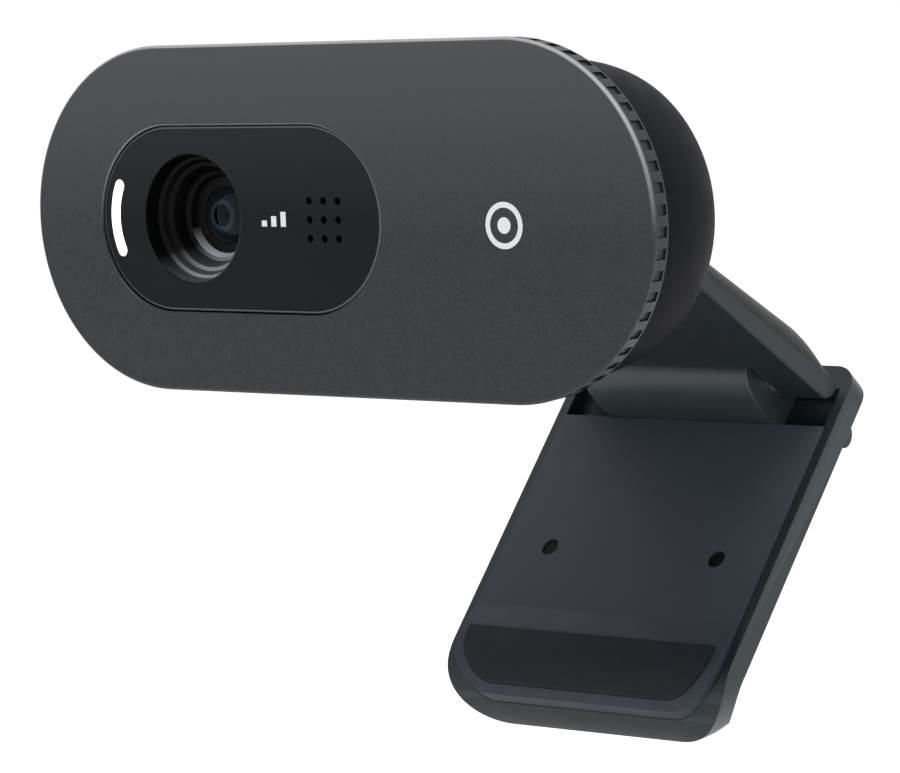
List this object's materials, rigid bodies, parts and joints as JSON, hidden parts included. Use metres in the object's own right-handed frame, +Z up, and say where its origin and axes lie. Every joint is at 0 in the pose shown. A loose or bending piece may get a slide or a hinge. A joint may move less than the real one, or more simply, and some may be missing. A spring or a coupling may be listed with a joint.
{
  "type": "clip-on webcam",
  "caption": "Wide pill-shaped camera head with an inset lens panel and side indicator light, tilting on a folding clip that hangs on the top edge of a monitor.",
  "frame": {"origin": "middle of the flat underside of the clip's arm, where it rests on a monitor's top edge", "axes": "+Z up with the head level, the lens looks along -Y, +X runs left to right across the head as seen from in front"},
  "size_m": [0.0728, 0.0603, 0.0686],
  "materials": {
    "cover_plastic": "fine speckled charcoal, satin",
    "panel_plastic": "smooth dark, semi-gloss",
    "shroud_plastic": "smooth black, satin steps",
    "barrel_plastic": "black, satin",
    "lens_glass": "coated glass",
    "light_guide": "frosted clear, lit",
    "board_laminate": "green solder mask",
    "chip_plastic": "moulded black",
    "connector_plastic": "ivory nylon",
    "mesh_cloth": "acoustic cloth",
    "housing_plastic": "fine matt dark grey",
    "clip_plastic": "matt near-black",
    "flap_plastic": "fine spark texture, green-grey",
    "plate_plastic": "smooth satin blue-grey",
    "pad_rubber": "smooth soft rubber",
    "gland_rubber": "matt rubber",
    "pin_steel": "ground steel",
    "washer_steel": "spring steel",
    "screw_steel": "black oxide steel",
    "can_aluminium": "drawn can",
    "filter_glass": "dichroic glass"
  },
  "bodies": {
    "clip": {"clip_arm": "clip_plastic"},
    "head": {"front_cover": "cover_plastic", "lens_panel": "panel_plastic", "lens_shroud": "shroud_plastic", "lens_barrel": "barrel_plastic", "lens_front_element": "lens_glass", "lens_spacer": "barrel_plastic", "lens_rear_element": "lens_glass", "lens_holder": "barrel_plastic", "ir_cut_filter": "filter_glass", "image_sensor": "chip_plastic", "circuit_board": "board_laminate", "usb_controller_chip": "chip_plastic", "memory_chip": "chip_plastic", "status_led": "connector_plastic", "led_light_pipe": "light_guide", "microphone_mesh": "mesh_cloth", "microphone_boot": "gland_rubber", "microphone_capsule": "can_aluminium", "board_connector": "connector_plastic", "board_screws": "screw_steel", "rear_housing": "housing_plastic", "hinge_bracket": "housing_plastic", "bracket_screws": "screw_steel", "cable_gland": "gland_rubber", "tilt_pin": "pin_steel", "tilt_friction_washers": "washer_steel"},
    "flap": {"flap_shell": "flap_plastic", "flap_inner_plate": "plate_plastic", "flap_knuckle": "flap_plastic", "flap_screws": "screw_steel", "foot_pad": "pad_rubber", "hinge_pin": "pin_steel", "hinge_friction_washers": "washer_steel"}
  },
  "joints": [
    {"name": "head_tilt", "type": "hinge", "parent": "clip", "child": "head", "pos_m": [0, -0.01812, 0.01064], "axis": [1, 0, 0], "range_deg": [-45, 8]},
    {"name": "flap_fold", "type": "hinge", "parent": "clip", "child": "flap", "pos_m": [0, 0.01692, -0.0088], "axis": [1, 0, 0], "range_deg": [-45, 80]}
  ]
}
